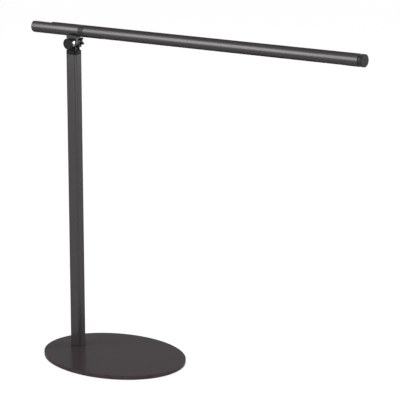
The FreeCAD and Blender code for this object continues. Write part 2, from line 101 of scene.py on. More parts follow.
def extent(node, where=UPRIGHT):
    """Lowest and highest coordinates of a construction node, measured in the given frame."""
    mesh = frame["nodes"][node].data
    points = np.empty(len(mesh.vertices) * 3)
    mesh.vertices.foreach_get("co", points)
    local = (points.reshape(-1, 3) - where[0]) @ where[1].T
    return local.min(0), local.max(0)


# Surfaces

def fillet(corners, radii, closed=False):
    """A line through corners, each rounded by an arc of its radius, and how far into an arc each point is.

    With unit vectors u and v from a corner to its neighbours, and the angle a between them, the arc
    touches both sides at radius / tan(a / 2) and its centre is on the bisector at radius / sin(a / 2).
    Its points turn evenly from the first touching point to the second.
    """
    corners = np.asarray(corners, float)
    share = np.linspace(0, 1, ARC_STEPS + 1)[:, None]
    points, edges = [], []
    for i, (corner, radius) in enumerate(zip(corners, radii)):
        if radius == 0 or (not closed and i in (0, len(corners) - 1)):
            points.append(corner[None])
            edges.append(np.zeros(1))
            continue
        u = unit(corners[i - 1] - corner)
        v = unit(corners[(i + 1) % len(corners)] - corner)
        half = math.acos(np.clip(u @ v, -1, 1)) / 2
        turn = math.pi - 2 * half
        centre = corner + unit(u + v) * radius / math.sin(half)
        start = corner + u * radius / math.tan(half) - centre
        end = corner + v * radius / math.tan(half) - centre
        swept = np.sin((1 - share) * turn) * start + np.sin(share * turn) * end
        points.append(centre + swept / math.sin(turn))
        edges.append(np.sin(math.pi * share[:, 0]))
    return np.concatenate(points), np.concatenate(edges)


def arc(start, end, steps, whole=False):
    """The points (cos t, sin t) for even steps of the angle t. A whole turn leaves out its last point."""
    turn = np.linspace(start, end, steps, endpoint=not whole)
    return np.stack([np.cos(turn), np.sin(turn)], -1)


def spin(profile):
    """Surface of revolution: a (distance, radius) profile turned about the frame's first axis."""
    distance = np.broadcast_to(profile[:, :1, None], (len(profile), COLUMNS, 1))
    around = profile[:, 1:, None] * arc(0, WHOLE_TURN, COLUMNS, whole=True)
    return np.concatenate([distance, around], -1)


def carry(outline, path):
    """A closed outline carried up a path of (inset, height): each point moves in along its own normal.

    The normal is the tangent between a point's two neighbours, turned outwards by a right angle.
    """
    tangent = np.roll(outline, -1, 0) - np.roll(outline, 1, 0)
    normal = np.stack([tangent[:, 1], -tangent[:, 0]], -1)
    normal /= np.linalg.norm(normal, axis=1, keepdims=True)
    flat = outline[None] - path[:, :1, None] * normal[None]
    height = np.broadcast_to(path[:, 1:, None], flat.shape[:2] + (1,))
    return np.concatenate([flat, height], -1)


def ellipse(long_half, short_half):
    """The points (a cos t, b sin t) for even steps of t."""
    return arc(0, WHOLE_TURN, 2 * COLUMNS, whole=True) * (long_half, short_half)


def rounded_rectangle(centre, half, corner):
    """A rectangle about a centre, with its four corners rounded alike."""
    signs = np.array([(1, 1), (-1, 1), (-1, -1), (1, -1)])
    return fillet(centre + signs * half, [corner] * 4, closed=True)[0]


def stadium(centre, length, width):
    """Two half circles, of half the width, joined by straight sides."""
    cap = arc(-math.pi / 2, math.pi / 2, COLUMNS // 4) * width / 2
    reach = np.array([(length - width) / 2, 0])
    return centre + np.concatenate([cap + reach, -cap - reach])


def skin(rings, where, wear_and_sheen=None, loop=False):
    """A closed mesh through a stack of rings: its ends get a face each, or the stack closes in a loop."""
    rows, columns = rings.shape[:2]
    index = np.arange(rows * columns).reshape(rows, columns)
    ends = [] if loop else [index[0].tolist(), index[-1].tolist()]
    if loop:
        index = np.vstack([index, index[:1]])
    low, high = index[:-1], index[1:]
    quads = np.stack([low, np.roll(low, -1, 1), np.roll(high, -1, 1), high], -1)
    mesh = bpy.data.meshes.new("skin")
    mesh.from_pydata(where[0] + rings.reshape(-1, 3) @ where[1], [], quads.reshape(-1, 4).tolist() + ends)
    worn = np.repeat(np.zeros(rows) if wear_and_sheen is None else wear_and_sheen, columns)
    mesh.attributes.new("wear_and_sheen", "FLOAT", "POINT").data.foreach_set("value", worn.astype(np.float32))
    tidy = bmesh.new()
    tidy.from_mesh(mesh)
    bmesh.ops.remove_doubles(tidy, verts=tidy.verts, dist=WELD)
    bmesh.ops.recalc_face_normals(tidy, faces=tidy.faces)
    tidy.to_mesh(mesh)
    tidy.free()
    return mesh


def turned(corners, radii, where, painted_side_sheen=0.0):
    """A turned solid: its profile of (distance, radius) corners is rounded and spun.

    On the side, where the radius is greatest, the mark is at least the painted side sheen: a painted
    highlight that lightens the side.
    """
    profile, wear_and_sheen = fillet(corners, radii)
    side = profile[:, 1] > profile[:, 1].max() - WELD
    return skin(spin(profile), where, np.where(side, np.maximum(wear_and_sheen, painted_side_sheen), wear_and_sheen))


def turned_tube(start, end, outer, inner, edge, where):
    """A turned ring or tube whose outer edges are rounded."""
    corners = [(start, inner), (start, outer), (end, outer), (end, inner)]
    profile, wear_and_sheen = fillet(corners, [0, edge, edge, 0])
    return skin(spin(profile), where, wear_and_sheen, loop=True)


def prism(outline, low, high, edge, where, bottom_edge=None, painted_side_sheen=0.0):
    """A solid of one outline between two heights, with rounded rims.

    Where the outline moves in by less than half the rim's radius, the mark is at least the painted side
    sheen: a painted highlight that lightens the side.
    """
    rounds = [0, edge if bottom_edge is None else bottom_edge, edge, 0]
    deep = 2 * max(rounds) + FIT
    path, wear_and_sheen = fillet([(deep, low), (0, low), (0, high), (deep, high)], rounds)
    wear_and_sheen = np.where(path[:, 0] < edge / 2, np.maximum(wear_and_sheen, painted_side_sheen), wear_and_sheen)
    return skin(carry(outline, path), where, wear_and_sheen)


def combine(mesh, tool, operation):
    """Joins two closed meshes, or cuts the second out of the first."""
    solids = [bpy.data.objects.new("solid", part) for part in (mesh, tool)]
    for solid in solids:
        bpy.context.scene.collection.objects.link(solid)
    modifier = solids[0].modifiers.new("combine", "BOOLEAN")
    modifier.operation = operation
    modifier.solver = "EXACT"
    modifier.object = solids[1]
    graph = bpy.context.evaluated_depsgraph_get()
    result = bpy.data.meshes.new_from_object(solids[0].evaluated_get(graph))
    for part in (mesh, tool):
        bpy.data.meshes.remove(part)
    if not result.polygons:
        raise RuntimeError("two surfaces could not be combined")
    return result


def piece(name, mesh, body, finish, slot, *nodes):
    """Puts a finished mesh in the scene: what it moves with, its finish and the nodes it stands for."""
    mesh.name = name
    mesh.shade_smooth()
    mesh.set_sharp_from_angle(angle=SHARP_ANGLE)
    mesh.materials.clear()
    mesh.materials.append(finish)
    made = bpy.data.objects.new(name, mesh)
    bpy.context.scene.collection.objects.link(made)
    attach(made, body)
    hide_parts(*nodes)
    return made


# Shared effects

class Graph:
    """Adds nodes to one shader tree and links them."""

    def __init__(self, tree):
        self.tree = tree

    def add(self, kind, inputs=None, **settings):
        node = self.tree.nodes.new(kind)
        for key, value in settings.items():
            setattr(node, key, value)
        for key, value in (inputs or {}).items():
            if isinstance(value, bpy.types.NodeSocket):
                self.tree.links.new(value, node.inputs[key])
            else:
                node.inputs[key].default_value = value
        return node

    def group(self, tree, inputs):
        """The outputs of a shared effect."""
        return self.add("ShaderNodeGroup", inputs, node_tree=tree).outputs

    def colours(self, factor, first, second):
        """A mix of two colours."""
        node = self.add("ShaderNodeMix", {0: factor, 6: first, 7: second}, data_type="RGBA")
        return node.outputs[2]

    def span(self, value, low, high):
        """A value from 0 to 1, spread between two numbers."""
        return self.add("ShaderNodeMapRange", {"Value": value, "To Min": low, "To Max": high}).outputs[0]


def effect(name, inputs, outputs):
    """An empty node group with named sockets, its graph, and its input and output nodes."""
    tree = bpy.data.node_groups.new(name, "ShaderNodeTree")
    for socket, kind in inputs:
        tree.interface.new_socket(socket, in_out="INPUT", socket_type=kind)
    for socket in outputs:
        tree.interface.new_socket(socket, in_out="OUTPUT", socket_type="NodeSocketFloat")
    graph = Graph(tree)
    return tree, graph, graph.add("NodeGroupInput").outputs, graph.add("NodeGroupOutput").inputs


def grain_effect():
    """Fine specks and wide clouds of one noise, for texture and for slow changes of tone."""
    if "fine_grain" in bpy.data.node_groups:
        return bpy.data.node_groups["fine_grain"]
    cloud_share = 0.03
    sockets = [("Vector", "NodeSocketVector"), ("Scale", "NodeSocketFloat")]
    tree, graph, given, out = effect("fine_grain", sockets, ["Speck", "Cloud"])
    speck = graph.add("ShaderNodeTexNoise", {"Vector": given[0], "Scale": given[1], "Detail": 3.0})
    wide = graph.add("ShaderNodeMath", {0: given[1], 1: cloud_share}, operation="MULTIPLY")
    cloud = graph.add("ShaderNodeTexNoise", {"Vector": given[0], "Scale": wide.outputs[0], "Detail": 4.0})
    tree.links.new(speck.outputs[0], out[0])
    tree.links.new(cloud.outputs[0], out[1])
    return tree


def line_effect():
    """Drawn, brushed or turned lines: noise on coordinates that are stretched along the lines."""
    if "drawn_lines" in bpy.data.node_groups:
        return bpy.data.node_groups["drawn_lines"]
    sockets = [("Vector", "NodeSocketVector"), ("Stretch", "NodeSocketVector")]
    tree, graph, given, out = effect("drawn_lines", sockets, ["Line"])
    stretched = graph.add("ShaderNodeVectorMath", {0: given[0], 1: given[1]}, operation="MULTIPLY")
    noise = graph.add("ShaderNodeTexNoise", {"Vector": stretched.outputs[0], "Scale": 1.0, "Detail": 4.0})
    tree.links.new(noise.outputs[0], out[0])
    return tree


def wear_and_sheen_effect():
    """A broken mask along rounded rims, where hands and cloths polish the finish; on a side given painted
    side sheen it also carries a painted highlight.
    """
    if "rim_wear_and_sheen" in bpy.data.node_groups:
        return bpy.data.node_groups["rim_wear_and_sheen"]
    patch_scale, patch_low, patch_high = 140.0, 0.35, 0.7
    sockets = [("Vector", "NodeSocketVector"), ("Amount", "NodeSocketFloat")]
    tree, graph, given, out = effect("rim_wear_and_sheen", sockets, ["Mask"])
    rim = graph.add("ShaderNodeAttribute", attribute_name="wear_and_sheen")
    patch = graph.add("ShaderNodeTexNoise", {"Vector": given[0], "Scale": patch_scale, "Detail": 5.0})
    broken = graph.add(
        "ShaderNodeMapRange",
        {"Value": patch.outputs[0], "From Min": patch_low, "From Max": patch_high},
    )
    mask = graph.add("ShaderNodeMath", {0: rim.outputs["Fac"], 1: broken.outputs[0]}, operation="MULTIPLY")
    eased = graph.add("ShaderNodeMath", {0: mask.outputs[0], 1: given[1]}, operation="MULTIPLY")
    tree.links.new(eased.outputs[0], out[0])
    return tree


# Finishes

def finish(name, colour, rough, specular=0.5, metallic=0.0, grain=900.0, bump=0.15, stretch=None,
           tone=0.10, worn=0.3, worn_colour=None, turn=0.0, edge_tint=1.0):
    """A finish with its own texture: tone and gloss drift, specks or lines lift it, rims are rubbed bright,
    and sides given painted side sheen get a painted highlight through the same mask.
    """
    if name in bpy.data.materials:
        return bpy.data.materials[name]
    relief, rough_spread, worn_gain, worn_gloss, blotch_base = 0.05 * MM, 0.06, 2.2, 0.75, 0.25
    material = bpy.data.materials.new(name)
    material.use_nodes = True
    graph = Graph(material.node_tree)
    shader = material.node_tree.nodes["Principled BSDF"]
    coordinates = graph.add("ShaderNodeTexCoord").outputs["Object"]
    mapping = graph.add("ShaderNodeMapping", {"Vector": coordinates, "Rotation": (0, turn, 0)}).outputs[0]
    speck, cloud = graph.group(grain_effect(), {"Vector": mapping, "Scale": grain})
    height = speck
    if stretch:
        height = graph.group(line_effect(), {"Vector": mapping, "Stretch": stretch})[0]
    mask = graph.group(wear_and_sheen_effect(), {"Vector": mapping, "Amount": worn})[0]
    blotch = graph.add("ShaderNodeMath", {0: cloud, 1: height, 2: blotch_base}, operation="MULTIPLY_ADD")
    dark = [channel * (1 - tone) for channel in colour] + [1]
    light = [channel * (1 + tone) for channel in colour] + [1]
    polish_and_sheen = list(worn_colour or [min(1, channel * worn_gain) for channel in colour]) + [1]
    body = graph.colours(blotch.outputs[0], dark, light)
    gloss = graph.span(blotch.outputs[0], rough - rough_spread, rough + rough_spread)
    rim_gloss = graph.add("ShaderNodeMix", {0: mask, 2: gloss, 3: rough * worn_gloss}).outputs[0]
    relief_node = graph.add("ShaderNodeBump", {"Strength": bump, "Distance": relief, "Height": height})
    links = material.node_tree.links
    links.new(graph.colours(mask, body, polish_and_sheen), shader.inputs["Base Color"])
    links.new(rim_gloss, shader.inputs["Roughness"])
    links.new(relief_node.outputs[0], shader.inputs["Normal"])
    shader.inputs["Metallic"].default_value = metallic
    shader.inputs["Specular IOR Level"].default_value = specular
    shader.inputs["Specular Tint"].default_value = (edge_tint, edge_tint, edge_tint, 1)
    return material


def moulded(name, colour, rough, specular, **changes):
    """Black plastic with a fine moulded grain."""
    return finish(name, colour, rough, specular=specular, grain=1900.0, bump=0.25, **changes)


def foot_coat():
    colour = bpy.context.scene.lamp_foot.coat
    return finish("foot_coat", colour, 0.21, specular=0.0135, grain=1100.0, bump=0.10)


def post_coat():
    colour = bpy.context.scene.lamp_post.coat
    return finish("post_coat", colour, 0.26, specular=0.0, metallic=0.5, grain=1100.0, bump=0.06,
                  edge_tint=0.3)


def bar_coat():
    colour, lines = bpy.context.scene.lamp_arm.coat, (6.0, 1500.0, 1500.0)
    return finish("bar_coat", colour, 0.36, metallic=1.0, grain=700.0, bump=0.10, stretch=lines,
                  turn=BAR_TILT, edge_tint=0.4)


def fork_coat():
    colour = bpy.context.scene.lamp_hinge.fork
    return finish("fork_coat", colour, 0.46, specular=0.07, grain=1600.0, bump=0.2)


def neck_coat():
    colour = bpy.context.scene.lamp_hinge.neck
    return finish("neck_coat", colour, 0.44, specular=0.16, grain=1600.0, bump=0.2)


def cap_plastic():
    settings = bpy.context.scene.lamp_arm
    # The cap's side band gets its side colour at the mask's full strength: a painted highlight.
    return moulded("cap_plastic", settings.cap, 0.42, 0.06, worn=1.0, worn_colour=settings.cap_side_highlight)


def seam_plastic():
    return moulded("seam_plastic", bpy.context.scene.lamp_arm.seam_tone, 0.42, 0.2)


def trim_plastic():
    return moulded("trim_plastic", bpy.context.scene.lamp_hinge.trim, 0.45, 0.09)


def collar_plastic():
    return moulded("collar_plastic", bpy.context.scene.lamp_arm.collar, 0.42, 0.17)


def bright_strip():
    colour, lines = bpy.context.scene.lamp_arm.strip, (10.0, 2500.0, 2500.0)
    return finish("bright_strip", colour, 0.55, metallic=0.6, stretch=lines, bump=0.1, turn=BAR_TILT,
                  tone=0.04, worn=0.1)


def turned_steel():
    lines = (300.0, 9000.0, 300.0)
    return finish("turned_steel", (0.26, 0.257, 0.25), 0.20, metallic=1.0, bump=0.2, stretch=lines, worn=0.1)


def zinc_plate():
    return finish("zinc_plate", (0.55, 0.56, 0.58), 0.35, metallic=1.0, grain=700.0, bump=0.15)


def black_oxide():
    return finish("black_oxide", (0.035, 0.035, 0.037), 0.4, metallic=0.8, grain=1500.0, worn=0.5)


def plain_aluminium():
    lines = (10.0, 2500.0, 2500.0)
    return finish("plain_aluminium", (0.72, 0.72, 0.73), 0.38, metallic=1.0, stretch=lines, turn=BAR_TILT)


def bright_brass():
    lines = (9000.0, 400.0, 400.0)
    return finish("bright_brass", (0.78, 0.57, 0.25), 0.28, metallic=1.0, stretch=lines, bump=0.15)


def grip_rubber():
    return finish("grip_rubber", (0.022, 0.022, 0.023), 0.82, specular=0.25, grain=2600.0, bump=0.6)


def ring_rubber():
    return finish("ring_rubber", (0.018, 0.018, 0.018), 0.6, grain=1500.0)


def bush_plastic():
    return finish("bush_plastic", (0.78, 0.77, 0.72), 0.42, grain=1200.0, tone=0.04)


def fibre_board():
    return finish("fibre_board", (0.02, 0.019, 0.018), 0.7, grain=1500.0, bump=0.4)


def solder_mask():
    return finish("solder_mask", (0.02, 0.16, 0.06), 0.3, grain=2500.0, tone=0.2)


def component_resin():
    return finish("component_resin", (0.016, 0.016, 0.017), 0.5, grain=2500.0)


def white_mask():
    return finish("white_mask", (0.80, 0.80, 0.78), 0.4, grain=2200.0, tone=0.03)


def led_resin():
    return finish("led_resin", (0.80, 0.62, 0.12), 0.35, grain=2500.0, tone=0.08)


def lead_jacket():
    return finish("lead_jacket", (0.03, 0.03, 0.03), 0.55, grain=1500.0)


def opal_lens():
    """Frosted strip: light scatters in it, so the parts behind show only as a soft tone."""
    material = finish("opal_lens", (0.80, 0.79, 0.76), 0.42, grain=1800.0, bump=0.12, tone=0.02, worn=0.0)
    shader = material.node_tree.nodes["Principled BSDF"]
    shader.inputs["Subsurface Weight"].default_value = 0.5
    shader.inputs["Subsurface Radius"].default_value = (1.0, 0.95, 0.85)
    shader.inputs["Subsurface Scale"].default_value = 1.5 * MM
    return material


# Settings

def length(name, description, default):
    return FloatProperty(name=name, description=description, default=default, min=0.0, unit="LENGTH",
                         precision=5)


def tint(name, description, default):
    return FloatVectorProperty(name=name, description=description, default=default, size=3, min=0.0, max=1.0,
                               subtype="COLOR")


class LampFootSettings(bpy.types.PropertyGroup):
    rim: length("Rim rounding", "Radius on the plate's upper and lower rim", 0.6 * MM)
    pad_rim: length("Pad rounding", "Radius on the rim of the grip pad", 0.3 * MM)
    coat: tint("Plate colour", "Colour of the plate's matt coat", (0.0250, 0.0203, 0.0211))


class LampPostSettings(bpy.types.PropertyGroup):
    corner: length("Corner radius", "Radius of the post's upright corners", 4.0 * MM)
    rim: length("Rim rounding", "Radius where the post meets the foot and the hinge", 0.25 * MM)
    bore: length("Inlet bore", "Radius of the supply inlet's opening", 1.85 * MM)
    body: length("Inlet body", "Radius of the inlet's body in the post's wall", 2.7 * MM)
    coat: tint("Post colour", "Colour of the post's satin coat", (0.0455, 0.0434, 0.0440))


class LampHingeSettings(bpy.types.PropertyGroup):
    collar: length("Collar height", "Height of the fork's collar on the post", 5.3 * MM)
    foot: length("Fork foot", "Half the fork's depth where it stands on the collar", 7.0 * MM)
    rim: length("Rim rounding", "Radius on the rims of fork, neck and cover", 0.5 * MM)
    dish: length("Cover dish", "Depth of the shallow dish in the bolt's cover and the knob", 0.4 * MM)
    lobe_depth: length("Knob hollows", "Depth of the hollows between the knob's lobes", 2.9 * MM)
    lobe_hollow: length("Hollow radius", "Radius of the hollows between the knob's lobes", 2.2 * MM)
    hub: length("Knob hub", "Radius of the knob's hub", 4.4 * MM)
    hub_length: length("Hub length", "Length of the knob's hub", 3.0 * MM)
    fork: tint("Fork colour", "Colour of the fork", (0.0050, 0.0048, 0.0045))
    neck: tint("Neck colour", "Colour of the neck", (0.0290, 0.0282, 0.0269))
    trim: tint("Trim colour", "Colour of cover, knob and inlet", (0.0060, 0.0059, 0.0057))


class LampArmSettings(bpy.types.PropertyGroup):
    wall: length("Tube wall", "Wall of the light bar and the tail", 1.5 * MM)
    rim: length("Tube rim", "Radius on the tubes' outer edges", 0.15 * MM)
    cap_rim: length("Cap rim", "Radius on the outer edge of the free end's cap", 0.3 * MM)
    tail_rim: length("Tail rim", "Radius on the outer edge of the tail's cap", 1.6 * MM)
    seam: length("Seam depth", "Depth of the dark seam behind the end cap", 0.7 * MM)
    seam_width: length("Seam width", "Width of the dark seam behind the end cap", 3.2 * MM)
    button_rim: length("Button rim", "Radius on the button's upper edge", 0.2 * MM)
    button_dish: length("Button dish", "Depth of the finger dish in the button", 0.12 * MM)
    slot: length("Lens slot", "Half the width of the slot in the bar's underside", 3.4 * MM)
    button_play: length("Button gap", "Gap between the button and its plate", 0.2 * MM)
    coat: tint("Bar colour", "Colour of the bar's satin coat", (0.058, 0.0555, 0.0565))
    cap: tint("Cap colour", "Colour of the free end's cap", (0.0056, 0.0054, 0.0055))
    # Painted highlight: the lighter colour painted on the cap's side band.
    cap_side_highlight: tint("Cap side", "Colour of the handled side of the free end's cap", (0.0220, 0.0215, 0.0216))
    seam_tone: tint("Seam colour", "Colour of the seam behind the free end's cap", (0.0110, 0.0107, 0.0108))
    collar: tint("Ring colour", "Colour of the ring between tail and bar", (0.0080, 0.0078, 0.0074))
    strip: tint("Strip colour", "Colour of the bright strip and its button", (0.60, 0.60, 0.59))


class LampStageSettings(bpy.types.PropertyGroup):
    eye: FloatVectorProperty(name="Camera place", description="Where the camera stands", size=3,
                             default=(1.7397, -2.0324, 0.9154), subtype="TRANSLATION")
    azimuth: FloatProperty(name="Camera azimuth", description="How far the camera has gone round the lamp",
                           default=math.radians(38.103), subtype="ANGLE")
    tilt: FloatProperty(name="Camera tilt", description="How far the camera looks down",
                        default=math.radians(14.59), subtype="ANGLE")
    focus: FloatProperty(name="Focal length", description="Focal length in pixels of the photograph",
                         default=2092.7, subtype="PIXEL")
    key: FloatProperty(name="Key light", description="Power of the large soft light at the front left",
                       default=103.0, unit="POWER")
    fill: FloatProperty(name="Fill light", description="Power of the soft light at the rear right",
                        default=84.0, unit="POWER")
    front: FloatProperty(name="Front light", description="Power of the low soft light at the front right",
                         default=52.0, unit="POWER")
    sky: FloatProperty(name="Sky light", description="Strength of the even light from all round",
                       default=0.75)
    floor_white: FloatProperty(name="Floor white",
                               description="Share of the floor that stays white in shadow",
                               default=0.9, subtype="FACTOR")


# Pieces

class LAMP_OT_foot(bpy.types.Operator):
    """Oval plate with rounded rims, on a thin grip pad"""
    bl_idname = "lamp.foot"
    bl_label = "Foot"

    def execute(self, context):
        settings = context.scene.lamp_foot
        low, high = extent("base_plate")
        # The plate's side band is painted lighter through the mask: painted sheen, besides the rubbed rims.
        plate = prism(ellipse(high[0], high[1]), low[2], high[2], settings.rim, UPRIGHT, painted_side_sheen=1.0)
        piece("foot_plate", plate, "base", foot_coat(), "coat_black", "base_plate")
        low, high = extent("base_pad")
        pad = prism(ellipse(high[0], high[1]), low[2], high[2], settings.pad_rim, UPRIGHT)
        piece("foot_pad", pad, "base", grip_rubber(), "grip_rubber", "base_pad")
        return {"FINISHED"}


class LAMP_OT_post(bpy.types.Operator):
    """Rounded post with the openings for its inlet and its set screw"""
    bl_idname = "lamp.post"
    bl_label = "Post"

    def execute(self, context):
        settings = context.scene.lamp_post
        low, high = extent("post_tube")
        centre, half = (low + high) / 2, (high - low) / 2
        outline = rounded_rectangle(centre[:2], half[:2], settings.corner)
        post = prism(outline, low[2], high[2], settings.rim, UPRIGHT)
        for node, radius in (("inlet_socket", settings.body), ("fork_screw", None)):
            start, end = extent(node)
            middle = (start + end) / 2
            radius = radius or (end[2] - start[2]) / 2
            well = spot((low[0], middle[1], middle[2]), RIGHT, BACK)
            depth = end[0] - low[0]
            pocket = turned([(-OVERRUN, radius), (depth, radius)], [0, 0], well)
            post = combine(post, pocket, "DIFFERENCE")
        piece("post_shell", post, "base", post_coat(), "coat_black", "post_tube")
        return {"FINISHED"}


class LAMP_OT_inlet(bpy.types.Operator):
    """Supply socket with its contact pin, and the set screw of the fork"""
    bl_idname = "lamp.inlet"
    bl_label = "Inlet and set screw"

    def execute(self, context):
        settings = context.scene.lamp_post
        low, high = extent("inlet_socket")
        post_low = extent("post_tube")[0]
        middle = (low + high) / 2
        where = spot((low[0], middle[1], middle[2]), RIGHT, BACK)
        pin_low, pin_high = extent("inlet_pin", where)
        flange, depth = (high[1] - low[1]) / 2, high[0] - low[0]
        lip = post_low[0] - low[0]
        floor = pin_high[0]
        corners = [(floor, settings.bore), (0, settings.bore), (0, flange), (lip, flange),
                   (lip, settings.body), (depth, settings.body)]
        rim = lip / 3
        socket = turned(corners, [0, rim, rim, 0, 0, 0], where)
        piece("inlet_jack", socket, "base", trim_plastic(), "trim_black", "inlet_socket")
        radius = pin_high[1]
        tip = radius / 2
        pin = turned([(pin_low[0], tip / 2), (pin_low[0], radius), (pin_high[0], radius)], [0, tip, 0], where)
        piece("inlet_contact", pin, "base", bright_brass(), "brass", "inlet_pin")
        low, high = extent("fork_screw")
        middle = (low + high) / 2
        where = spot((low[0], middle[1], middle[2]), RIGHT, BACK)
        radius, sunk = (high[2] - low[2]) / 2, (high[2] - low[2]) / 8
        key_share, key_depth_share, key_sides = 0.55, 1.2, 6
        corners = [(sunk, radius / 3), (sunk, radius), (high[0] - low[0], radius)]
        screw = turned(corners, [0, sunk / 2, 0], where)
        hexagon = arc(0, WHOLE_TURN, key_sides, whole=True) * radius * key_share
        key = prism(hexagon, -OVERRUN, radius * key_depth_share, 0, spot(where[0], BACK, UP))
        screw = combine(screw, key, "DIFFERENCE")
        piece("set_screw", screw, "base", black_oxide(), "black_screw", "fork_screw")
        return {"FINISHED"}


class LAMP_OT_fork(bpy.types.Operator):
    """Fork on the post: a collar, two ears and the web between them"""
    bl_idname = "lamp.fork"
    bl_label = "Hinge fork"

    def execute(self, context):
        settings = context.scene.lamp_hinge
        post_low, post_high = extent("post_tube")
        fork_high = extent("hinge_fork")[1]
        washer_low = extent("bolt_washers")[0]
        slot_half = extent("friction_washers")[1][1]
        rim = settings.rim
        top = post_high[2] + settings.collar
        half = (post_high - post_low)[:2] / 2
        outline = rounded_rectangle(((post_low + post_high) / 2)[:2], half, context.scene.lamp_post.corner)
        fork = prism(outline, post_high[2], top, 1.6 * rim, UPRIGHT, bottom_edge=rim / 2)
        radius = fork_high[2] - PIVOT[2]
        foot = top - PIVOT[2] - rim
        dome = arc(0, math.pi, COLUMNS // 2) * radius
        feet = np.array([(-settings.foot, foot), (settings.foot, foot)])
        ear = np.concatenate([feet, dome])
        outer = -washer_low[1] - WASHER
        for side in (-1, 1):
            span = sorted((side * slot_half, side * outer))
            fork = combine(fork, prism(ear, span[0], span[1], rim, HINGE_SIDE), "UNION")
        floor = -radius - MOVING_GAP
        middle, reach = np.array([0, (foot + floor) / 2]), np.array([radius, (floor - foot) / 2])
        web = rounded_rectangle(middle, reach, rim)
        fork = combine(fork, prism(web, -slot_half - rim, slot_half + rim, 0, HINGE_SIDE), "UNION")
        piece("fork", fork, "base", fork_coat(), "hinge_black", "hinge_fork")
        return {"FINISHED"}


class LAMP_OT_clamp(bpy.types.Operator):
    """Bolt cover, bright sleeve, washers and the lobed knob"""
    bl_idname = "lamp.clamp"
    bl_label = "Hinge clamp"

    def execute(self, context):
        settings = context.scene.lamp_hinge
        rim, dish = settings.rim, settings.dish
        low, high = extent("head_cap", HINGE_NEAR)
        radius = high[1]
        lip = radius - 3 * rim
        corners = [(low[0], radius), (high[0], radius), (high[0], lip), (high[0] - dish, lip - dish),
                   (high[0] - dish, rim)]
        cover = turned([(low[0], lip)] + corners, [0, rim / 3, rim, rim / 3, rim / 3, 0], HINGE_NEAR)
        piece("bolt_cover", cover, "base", trim_plastic(), "trim_black", "head_cap")
        low, high = extent("bolt_sleeve", HINGE_NEAR)
        sleeve = turned_tube(low[0], high[0], high[1], high[1] / 2, rim / 2, HINGE_NEAR)
        piece("bright_sleeve", sleeve, "base", turned_steel(), "bright_steel", "bolt_sleeve")
        low, high = extent("bolt_washers", HINGE_FAR)
        sizes = high[0] - WASHER, high[0], high[1], high[1] / 2, rim / 4
        washers = combine(turned_tube(*sizes, HINGE_NEAR), turned_tube(*sizes, HINGE_FAR), "UNION")
        piece("washer_pair", washers, "base", black_oxide(), "black_screw", "bolt_washers")
        self.knob(settings)
        return {"FINISHED"}

    def knob(self, settings):
        """Lobed grip on a round hub.

        A hollow's edge lies at c cos t - sqrt(h^2 - c^2 sin^2 t) from the axis, for its radius h and the
        distance c of its centre. Elsewhere the grip is a circle.
        """
        lobes, first = 6, math.radians(-13)
        low, high = extent("hinge_knob", HINGE_FAR)
        grip = np.abs([low[1:], high[1:]]).max()
        turn = np.linspace(0, WHOLE_TURN, 2 * COLUMNS, endpoint=False)
        step = WHOLE_TURN / lobes
        offset = (turn - first + step / 2) % step - step / 2
        centre = grip - settings.lobe_depth + settings.lobe_hollow
        inside = np.maximum(settings.lobe_hollow ** 2 - (centre * np.sin(offset)) ** 2, 0)
        hollow = centre * np.cos(offset) - np.sqrt(inside)
        radius = np.where(inside > 0, np.minimum(hollow, grip), grip)
        rim, dish, hub = settings.rim, settings.dish, settings.hub
        face, top = low[0], high[0]
        start = face + settings.hub_length
        path, wear_and_sheen = fillet([(1.5 * rim, start), (0, start), (0, top), (3 * rim, top)], [0, rim, rim, 0])
        circle = arc(0, WHOLE_TURN, len(turn), whole=True)
        grip_rings = carry(circle * radius[:, None], path)
        hub_rings = carry(circle * hub, np.array([(0.0, face), (0.0, start)]))
        dish_rings = carry(circle * hub, np.array([(0.0, top), (dish, top - dish)]))
        rings = np.concatenate([hub_rings, grip_rings, dish_rings])[..., [2, 0, 1]]
        wear_and_sheen = np.concatenate([[0, 0], wear_and_sheen, [0, 0]])
        piece("clamp_knob", skin(rings, HINGE_FAR, wear_and_sheen), "knob", trim_plastic(), "trim_black", "hinge_knob")


class LAMP_OT_neck(bpy.types.Operator):
    """Neck between the hinge and the bar: a saddle block on a round tongue"""
    bl_idname = "lamp.neck"
    bl_label = "Hinge neck"

    def execute(self, context):
        rim = context.scene.lamp_hinge.rim
        ear_gap, washer_room, sunk = 0.4 * MM, 0.6 * MM, 0.1 * MM
        low, high = extent("hinge_neck", ARM)
        radius = extent("tail_tube", ARM)[1][1]
        pivot = (PIVOT - ARM[0]) @ ARM[1].T
        knuckle = pivot[2] - low[2]
        base = pivot[2] + knuckle + ear_gap
        outline = rounded_rectangle(np.zeros(2), high[:2], 2 * rim)
        path, wear_and_sheen = fillet([(2 * rim, base), (0, base), (0, -radius / 2)], [0, rim, 0])
        rings = carry(outline, path)
        rings[-1, :, 2] = -np.sqrt((radius - sunk) ** 2 - rings[-1, :, 1] ** 2)
        neck = skin(rings, ARM, wear_and_sheen)
        round_end = arc(math.pi, WHOLE_TURN, COLUMNS // 2) * knuckle
        rise = base - pivot[2] + rim
        tongue = np.concatenate([round_end, [(knuckle, rise), (-knuckle, rise)]])
        thick = extent("friction_washers")[1][1] - washer_room
        where = spot(PIVOT, ARM[1][0], ARM[1][2])
        neck = combine(neck, prism(tongue, -thick, thick, rim / 2, where), "UNION")
        piece("neck", neck, "arm", neck_coat(), "hinge_black", "hinge_neck")
        return {"FINISHED"}


def button_place():
    """The push button's low and high corners, its middle, and its size above the lip that holds it in."""
    lip = 0.6 * MM
    low, high = extent("switch_button", ARM)
    return low, high, (low + high)[:2] / 2, (high - low)[:2] - 2 * lip


def button_hole(settings):
    """A round-ended block in which the push button slides, up through the tail's wall and the strip."""
    low, high, middle, size = button_place()
    size = size + 2 * settings.button_play
    return prism(stadium(middle, size[0], size[1]), low[2], high[2] + OVERRUN, 0, ARM)


